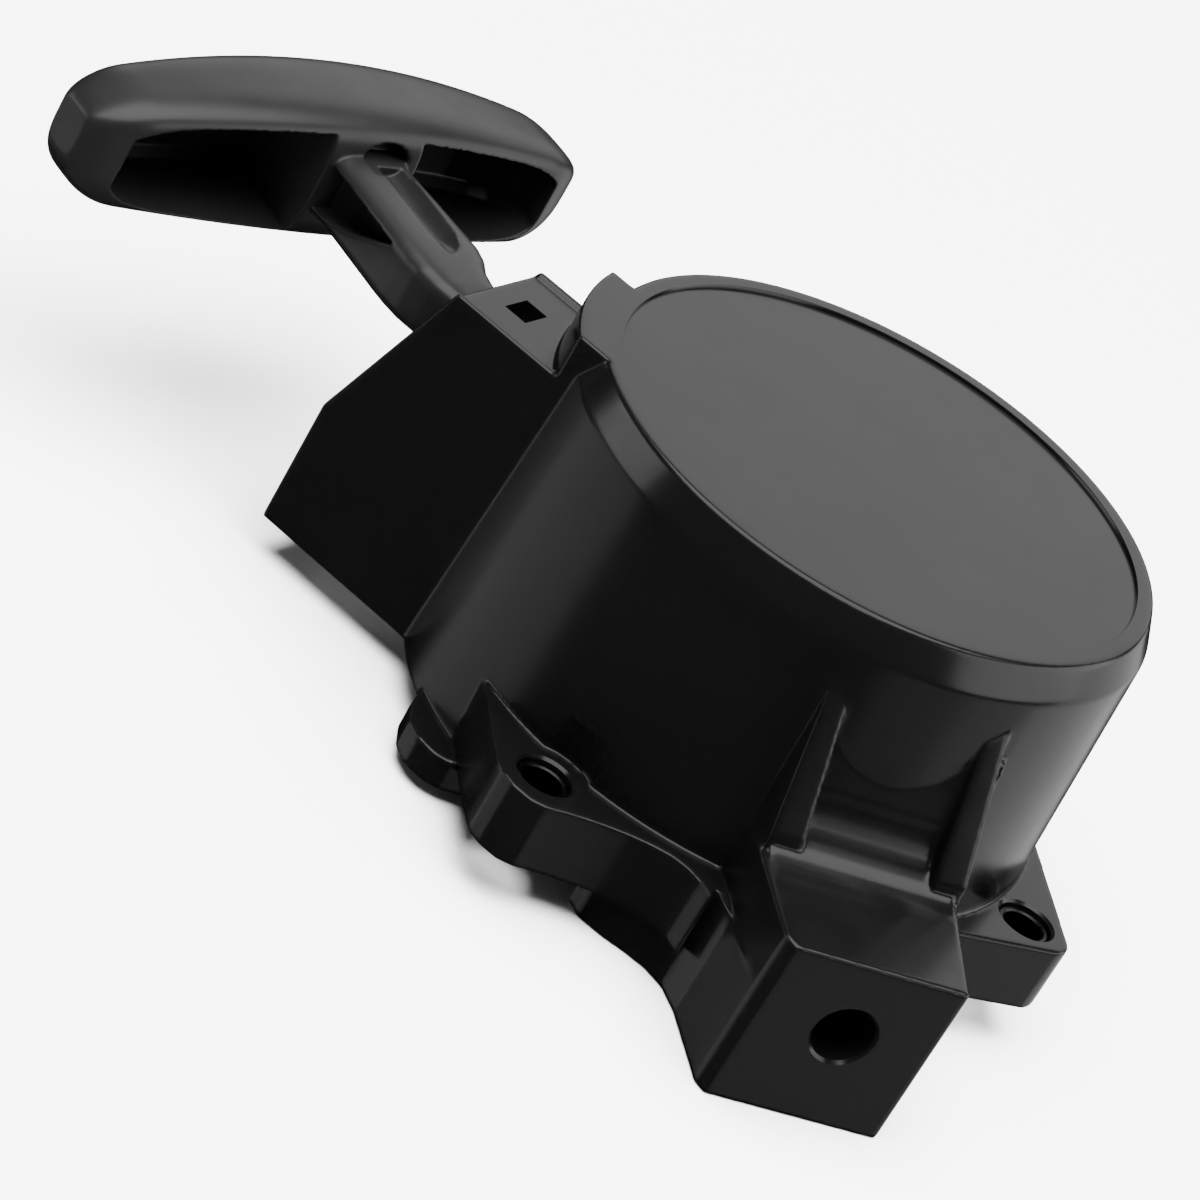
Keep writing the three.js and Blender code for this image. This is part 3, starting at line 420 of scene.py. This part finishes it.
# ------------------------------------------------------------------ camera
camera_data = bpy.data.cameras.new("camera")
camera_data.lens = 156.99
camera_data.sensor_width = 36.0
camera_data.clip_start = 0.01
camera = bpy.data.objects.new("camera", camera_data)
camera.matrix_world = Matrix((
    (0.72172384, -0.61771557, 0.31231741, 0.233961),
    (0.5226065, 0.19042881, -0.83103509, -0.698920),
    (0.45386908, 0.76299695, 0.46025918, 0.397187),
    (0, 0, 0, 1)))
bpy.context.scene.collection.objects.link(camera)
bpy.context.scene.camera = camera


# ------------------------------------------------------------------ housing
HOUSING_GRID = (9, 0.85)  # octree depth and share of it that the housing's mesh fills
HANDLE_GRID = (9, 0.9)
EDGE_ROUNDS = 10
HOUSING_TRIANGLES = 190000
HANDLE_TRIANGLES = 120000
FILL_GROW = 0.3  # plugs for the CAD's faceted holes reach this far past their walls
PANEL_CUT_GAP = 0.1
EDGE_FLARE = 0.45
PAST = 0.5  # cutters run this far past the faces


def flared_hole(radius, low, high):
    """Outline of a hole through a plate from low to high, with a broken edge at both faces."""
    wide = radius + EDGE_FLARE + PAST
    return [(0, low - PAST), (wide, low - PAST), (radius, low + EDGE_FLARE), (radius, high - EDGE_FLARE),
            (wide, high + PAST), (0, high + PAST)]


def plug(radius, low, high):
    """Outline of a plain round bar from low to high."""
    return [(0, low), (radius, low), (radius, high), (0, high)]


def at_ear(angle):
    return Matrix.Translation((*polar(EAR_PCD_R, angle), 0))


IN_BLOCK = ON_BLOCK @ Matrix.Translation((0, 0, BLOCK_HOLE_Z)) @ ALONG_X


def roof_box(name, grow, low, high):
    (x, y), (wide, deep) = ROOF_HOLE
    half_x, half_y = wide / 2 + grow, deep / 2 + grow
    return block(name, (x - half_x, y - half_y, low), (x + half_x, y + half_y, high))


def housing_fills():
    """Plugs for the faceted recess and holes of the CAD housing, which are cut again round."""
    panel = plug(PANEL_R + FILL_GROW, DRUM_H - 2, DRUM_H)
    fills = [turned("fill_panel", panel)]
    for angle in EAR_ANGLES:
        outline = plug(EAR_HOLE_R + FILL_GROW, EAR_LOW, EAR_TOP)
        fills.append(turned("fill_ear", outline, 32, at_ear(angle)))
    outline = plug(BLOCK_HOLE_R + FILL_GROW, BLOCK_REACH - BLOCK_HOLE_DEPTH - PAST, BLOCK_REACH)
    fills.append(turned("fill_block", outline, 40, IN_BLOCK))
    fills.append(roof_box("fill_roof", FILL_GROW, TOWER_TOP_Z - 2.2, TOWER_TOP_Z))
    return fills


def housing_cuts():
    top = DRUM_H
    panel = [(0, top - PANEL_DEPTH), (PANEL_R - 0.08, top - PANEL_DEPTH), (PANEL_R, top - PANEL_CUT_GAP),
             (PANEL_R + PANEL_CUT_GAP, top), (PANEL_R + PANEL_CUT_GAP, top + 1), (0, top + 1)]
    cuts = [turned("cut_panel", panel, 256)]
    for angle in EAR_ANGLES:
        outline = flared_hole(EAR_HOLE_R, EAR_LOW, EAR_TOP)
        cuts.append(turned("cut_ear", outline, 64, at_ear(angle)))
    near, far, r = BLOCK_REACH - BLOCK_HOLE_DEPTH, BLOCK_REACH, BLOCK_HOLE_R
    bore = [(0, near), (r, near), (r, far - PAST), (r + 1.0, far + PAST), (0, far + PAST)]
    cuts.append(turned("cut_block", bore, 72, IN_BLOCK))
    cuts.append(roof_box("cut_roof", 0, TOWER_TOP_Z - 4, TOWER_TOP_Z + 3))
    return cuts


def make_housing():
    shell = cad_copy("housing", "housing_shell")
    combined(shell, housing_fills(), "UNION")
    crisp_mesh(shell, *HOUSING_GRID)
    wall = [(RIM_R, 0), (SHOULDER_R, DRUM_H - SHOULDER_H)]
    bevel = [(SHOULDER_R, DRUM_H - SHOULDER_H), (DISC_R, DRUM_H)]
    inner = [(RIM_R - WALL_T, 0), (SHOULDER_R - WALL_T, DRUM_H - DISC_T - 3)]
    pressed_round(shell, [(False, wall), (False, bevel), (True, inner)], 0.08)
    relaxed(shell, EDGE_ROUNDS)
    thinned(shell, HOUSING_TRIANGLES)
    combined(shell, housing_cuts(), "DIFFERENCE")
    smooth_shaded(shell, 38)
    return finished(shell, HOUSING_PLASTIC, "housing_plastic", "base", "housing")


make_housing()


SLEEVE_GAP, SLEEVE_WALL, SLEEVE_EDGE, SLEEVE_SHY = 0.15, 1.0, 0.25, 1


def make_sleeve(number, angle):
    """Ring with all four edges broken."""
    r, wall, edge = EAR_HOLE_R - SLEEVE_GAP, SLEEVE_WALL, SLEEVE_EDGE
    low, high = EAR_LOW, EAR_TOP - SLEEVE_SHY
    outline = [(r - wall, low + edge), (r - wall + edge, low), (r - edge, low), (r, low + edge),
               (r, high - edge), (r - edge, high), (r - wall + edge, high), (r - wall, high - edge)]
    name = f"bolt_sleeve_{number}"
    piece = turned("ear_" + name, outline, 64, at_ear(angle), closed=True)
    facing_out(piece)
    smooth_shaded(piece, 30)
    finished(piece, BLACK_STEEL, "zinc_plate", "base", name)


for number, angle in enumerate(EAR_ANGLES, 1):
    make_sleeve(number, angle)

# ------------------------------------------------------------------ handle, in the rope's frame
GRIP_HALF_L, GRIP_PALM, GRIP_FINGER = 51.5, 57.0, 34.0
GRIP_UP, GRIP_DOWN, GRIP_WALL, GRIP_EDGE = 12.0, 12.6, 3.0, 1.2
STEM_HALF_H, STEM_NOSE = 6.0, -3.2
HOLLOW_FROM, HOLLOW_TO = 9.2, 44.5
HOLLOW_STEPS = (0, 0.25, 0.5, 0.7, 0.82, 0.9, 0.95, 0.985, 1)
SCOOP_FROM, SCOOP_SPAN = 0.7, 0.31
# Along the rope line: place, half width on the near and the far side, half height.
STEM_STATIONS = [(STEM_NOSE, 4.6, 4.0, 4.1), (-1.8, 6.2, 5.0, 4.9), (2, 8.2, 5.6, 5.4),
                 (6, 9.2, 6.2, 5.7), (9.5, 9.5, 8.1, 5.9), (12.5, 9.5, 8.8, 6.0),
                 (GRIP_FINGER + 2, 8.4, 7.3, 6.0), (GRIP_PALM - GRIP_WALL, 8.4, 7.3, 6.0)]
# Valley along the stem: place, middle, half width, depth.
VALLEY_STATIONS = [(8.6, 0.4, 0.9, 0.02), (11, -0.4, 2.0, 0.9), (15, -1.2, 3.0, 2.1),
                   (24, -1.7, 3.2, 2.5), (GRIP_FINGER - 1, -2.2, 3.2, 2.5)]
POCKET_OUTLINE = [(13.5, 3.6), (16, 2.2), (19.5, 0.4), (23.5, -1.6), (28, -3.3), (33, -4.4),
                  (GRIP_FINGER + 4, -4.6), (GRIP_FINGER + 4, 3.9), (14, 3.9)]
POCKET_Y = (4.2, 14)
ARCH_MIDDLE, ARCH_HALF_W, ARCH_H = -1.9, 4.8, 3.1
BORE_R, WELL_R = 2.1, 4.7


def grip_palm(y):
    return GRIP_PALM - 0.0015 * y * y


def grip_finger(y):
    return GRIP_FINGER + 0.002 * y * y


def grip_up(y):
    return GRIP_UP - 0.0026 * y * y


def squared(angle, power):
    c, s = math.cos(angle), math.sin(angle)
    return math.copysign(abs(c) ** power, c), math.copysign(abs(s) ** power, s)


def grip_section(y, sides=96):
    t = abs(y) / GRIP_HALF_L
    round_off = math.sqrt(max(1 - ((t - 0.8) / 0.2) ** 2, 0.02)) if t > 0.8 else 1
    near, far = grip_finger(y), grip_palm(y)
    depth = (far - near) / 2 * (0.45 + 0.55 * round_off)
    points = []
    for i in range(sides):
        c, s = squared(2 * math.pi * (i + 0.5) / sides, 0.5)
        height = (grip_up(y) if s > 0 else GRIP_DOWN) * (0.35 + 0.65 * round_off)
        points.append(((far + near) / 2 + depth * c, y, height * s))
    return points


def stem_section(x, near, far, half, sides=72):
    points = []
    for i in range(sides):
        c, s = squared(2 * math.pi * (i + 0.5) / sides, 0.45)
        points.append((x, ((near - far) + (near + far) * c) / 2, half * s))
    return points


def hollow_sections(side):
    """Sections of one finger hollow, which scoops up to the finger face at its outer end."""
    sections = []
    for t in HOLLOW_STEPS:
        y = side * (HOLLOW_FROM + (HOLLOW_TO - HOLLOW_FROM) * t)
        scoop = 1 - math.sqrt(1 - ((t - SCOOP_FROM) / SCOOP_SPAN) ** 2) if t > SCOOP_FROM else 0
        near, far = grip_finger(y) - 6, grip_palm(y) - GRIP_WALL
        far -= (far - grip_finger(y) - 3) * scoop
        up, down = grip_up(y) - GRIP_WALL - 3 * scoop, -GRIP_DOWN + GRIP_WALL + 4 * scoop
        sections.append([(near, y, down + GRIP_EDGE - GRIP_WALL), (far - 2, y, down), (far, y, down + 2),
                         (far, y, up - 2), (far - 2, y, up), (near, y, up)])
    return sections


def valley_cut(side):
    """Rounded valley along the stem's upper or lower face."""
    sections = []
    top = side * (STEM_HALF_H + 1)
    for x, middle, half, deep in VALLEY_STATIONS:
        floor_line = []
        for u in range(-4, 5):
            z = side * (STEM_HALF_H - deep * (1 - (u / 4) ** 2))
            floor_line.append((x, middle + half * u / 4, z))
        sections.append(floor_line + [(x, middle + half, top), (x, middle - half, top)])
    return skinned("valley", sections)


def pocket_cut(side):
    """Curved side pocket that deepens towards the grip."""
    return skinned("pocket", [[(x, side * y, z) for x, z in POCKET_OUTLINE] for y in POCKET_Y])


def arch_cut():
    """Arched recess in the grip above the stem."""
    sections = []
    for x in (GRIP_FINGER - 4, GRIP_FINGER + 3.6):
        sections.append([(x, ARCH_MIDDLE + ARCH_HALF_W * math.cos(a), STEM_HALF_H - 0.6 + ARCH_H * math.sin(a))
                         for a in np.linspace(0, math.pi, 24)])
    return skinned("arch", sections)


def make_handle():
    steps = [math.sin(math.pi / 2 * i / 60) for i in range(-60, 61)]
    body = [grip_section(t * GRIP_HALF_L) for t in steps]
    handle = facing_out(skinned("handle_shell", body))
    hollows = [skinned("hollow", hollow_sections(side)) for side in (-1, 1)]
    combined(handle, hollows, "DIFFERENCE")
    stem = facing_out(skinned("stem", [stem_section(*station) for station in STEM_STATIONS]))
    cuts = []
    for side in (-1, 1):
        cuts += [valley_cut(side), pocket_cut(side)]
    combined(stem, cuts, "DIFFERENCE")
    combined(handle, [stem], "UNION")
    combined(handle, [arch_cut()], "DIFFERENCE")
    bore = turned("bore", plug(BORE_R, -9, GRIP_PALM - 10), 32, ALONG_X)
    well = turned("well", plug(WELL_R, GRIP_PALM - 14, GRIP_PALM + 4), 48, ALONG_X)
    combined(handle, [bore, well], "DIFFERENCE")
    crisp_mesh(handle, *HANDLE_GRID)
    relaxed(handle, EDGE_ROUNDS)
    thinned(handle, HANDLE_TRIANGLES)
    m = np.array(ON_ROPE)
    co = coordinates(handle) / MM
    set_coordinates(handle, (co @ m[:3, :3].T + m[:3, 3]) * MM)
    smooth_shaded(handle)
    return finished(handle, GRIP_PLASTIC, "grip_plastic", "grip", "handle")


make_handle()


# ------------------------------------------------------------------ rope
def cord_section(place, across, up, turn, radius, sides=20):
    """Section of a braided cord: two families of strands that cross."""
    points = []
    for i in range(sides):
        a = 2 * math.pi * i / sides
        one, two = abs(math.cos(3 * a + turn)), abs(math.cos(3 * a - turn))
        r = radius * (0.87 + 0.13 * max(one, two))
        points.append(place + across * (r * math.cos(a)) + up * (r * math.sin(a)))
    return points


LEAD_START, LEAD_END = -55.2, GRIP_PALM - 12.5
LEAD_STEPS = 520
UP = np.array((0.0, 0, 1))
ACROSS = np.array((0.0, 1, 0))
COIL_ROPE_R = 1.7
# Radius of each layer on the pulley, and the heights of its first and last turn.
COIL_LAYERS = [(36.1, 41.35, 44.85), (38.45, 44.85, 41.35)]
COIL_STEPS = 150


def make_rope():
    start, end = LEAD_START, LEAD_END
    sections = []
    for i in range(LEAD_STEPS + 1):
        place = np.array((start + (end - start) * i / LEAD_STEPS, 0.0, 0.0))
        section = cord_section(place, ACROSS, UP, 2 * math.pi * i / 11, ROPE_R)
        sections.append([tuple(p) for p in section])
    rope = facing_out(skinned("pull_rope", sections, ON_ROPE))
    smooth_shaded(rope)
    finished(rope, ROPE, "rope", None, "rope_lead")
    return rope, ON_ROPE @ Vector((start, 0, 0)) * MM, ON_ROPE @ Vector((end, 0, 0)) * MM


def make_winding():
    """Two layers of two turns each in the pulley's groove."""
    sections = []
    for radius, z0, z1 in COIL_LAYERS:
        for i in range(COIL_STEPS * 2):
            t = i / (COIL_STEPS * 2)
            a = 2 * math.pi * 2 * t
            z = z0 + (z1 - z0) * min(max((t - 0.42) / 0.16, 0), 1)
            ray = np.array((math.cos(a), math.sin(a), 0.0))
            place = ray * radius + np.array((0, 0, z))
            section = cord_section(place, ray, UP, 2 * math.pi * i / 7, COIL_ROPE_R, 14)
            sections.append([tuple(p) for p in section])
    winding = facing_out(skinned("rope_winding", sections))
    smooth_shaded(winding)
    return finished(winding, ROPE, "rope", "reel", "rope_coil")


pull_rope, rope_start, rope_end = make_rope()
make_winding()

# ------------------------------------------------------------------ inner pieces
refined("block_insert", "block_bush", BRASS, "brass", "base", 0.2)
refined("rope_guide", "rope_bush", ZINC, "zinc_plate", "base", 0.0, 40)
refined("recoil_spring", "spring_strip", SPRING_STEEL, "spring_steel", "base", 0.0, 40)
refined("spring_cover", "spring_plate", ZINC, "zinc_plate", "base", 0.15)
for number in (1, 2, 3):
    refined(f"cover_screw_{number}", f"plate_screw_{number}", STEEL, "steel", "base", 0.25)
refined("pulley", "reel_wheel", NYLON, "nylon", "reel", 0.3)
refined("pulley_knot", "reel_knot", ROPE, "rope", "reel", 0.0, 70)
for number, body in ((1, "pawl_a"), (2, "pawl_b")):
    refined(f"pawl_{number}", f"dog_{number}", STEEL, "steel", body, 0.25)
    refined(f"pawl_pin_{number}", f"dog_pin_{number}", STEEL, "steel", "reel", 0.3)
refined("brake_spring", "drag_spring", SPRING_STEEL, "spring_steel", "reel", 0.0, 60)
refined("friction_plate", "drag_plate", ZINC, "zinc_plate", "plate", 0.2)
refined("centre_washer", "bolt_washer", ZINC, "zinc_plate", "base", 0.2)
refined("centre_bolt", "hex_bolt", STEEL, "steel", "base", 0.35)
refined("handle_cap", "grip_plug", GRIP_PLASTIC, "grip_plastic", "grip", 0.2, 50)
refined("handle_knot", "grip_knot", ROPE, "rope", "grip", 0.0, 70)

# ------------------------------------------------------------------ floor, backdrop and light
def stage_mesh(name, points, faces, material):
    piece = mesh_piece(name, points, faces)
    piece.data.materials.append(material)
    return piece


FLOOR_Z = -BLOCK_DROP - 0.05
floor_material, _, floor_shader = new_material("pale floor")
floor_shader.inputs["Base Color"].default_value = grey(0.86)
floor_shader.inputs["Roughness"].default_value = 0.9
floor_shader.inputs["Specular IOR Level"].default_value = 0.1
FLOOR_HALF = 9000.0
floor_corners = [(x * FLOOR_HALF, y * FLOOR_HALF, FLOOR_Z) for x, y in ((-1, -1), (1, -1), (1, 1), (-1, 1))]
floor = stage_mesh("floor", floor_corners, [(0, 1, 2, 3)], floor_material)
floor.visible_glossy = False
floor.visible_shadow = False

world = bpy.data.worlds.new("world")
world.use_nodes = True
world.node_tree.nodes["Background"].inputs["Color"].default_value = grey(0.010)
world.node_tree.nodes["Background"].inputs["Strength"].default_value = 1.0
bpy.context.scene.world = world


def panel_light(name, place, wide, high, radiance, target=(0.0, -0.01, 0.03), glossy=True):
    """A soft area light of even radiance at place, in metres, turned to the target."""
    data = bpy.data.lights.new(name, "AREA")
    data.shape = "RECTANGLE"
    data.size, data.size_y = wide, high
    data.energy = radiance * wide * high * math.pi
    light = bpy.data.objects.new(name, data)
    turn = (Vector(target) - Vector(place)).to_track_quat("-Z", "Y")
    light.matrix_world = Matrix.Translation(place) @ turn.to_matrix().to_4x4()
    light.visible_camera = False
    light.visible_glossy = glossy
    bpy.context.scene.collection.objects.link(light)
    return light


LIGHT_DISTANCE = 1.6


def at_angles(azimuth, elevation):
    a, e = math.radians(azimuth), math.radians(elevation)
    flat = LIGHT_DISTANCE * math.cos(e)
    return flat * math.cos(a), flat * math.sin(a), LIGHT_DISTANCE * math.sin(e)


panel_light("floor_fill", (0.1, -0.2, 2.4), 2.6, 2.6, 30.0, glossy=False)
panel_light("overhead", (0.0, -0.15, 1.3), 1.7, 1.7, 2.9)
panel_light("back_panel", at_angles(110.6, 26), 1.9, 0.9, 1.0)
panel_light("right_low", at_angles(57, -17), 1.6, 1.2, 1.0)
panel_light("right_high", at_angles(25, 22), 2.2, 1.1, 1.9)
panel_light("front_right_low", at_angles(14, -24), 0.9, 0.8, 0.55)
panel_light("front_low", at_angles(-18, -26), 0.8, 0.8, 0.28)
panel_light("left_low", at_angles(198, -20), 1.3, 1.0, 0.5)
panel_light("left_high", at_angles(204, 13), 1.0, 0.5, 1.9)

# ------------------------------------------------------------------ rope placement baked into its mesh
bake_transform(pull_rope)
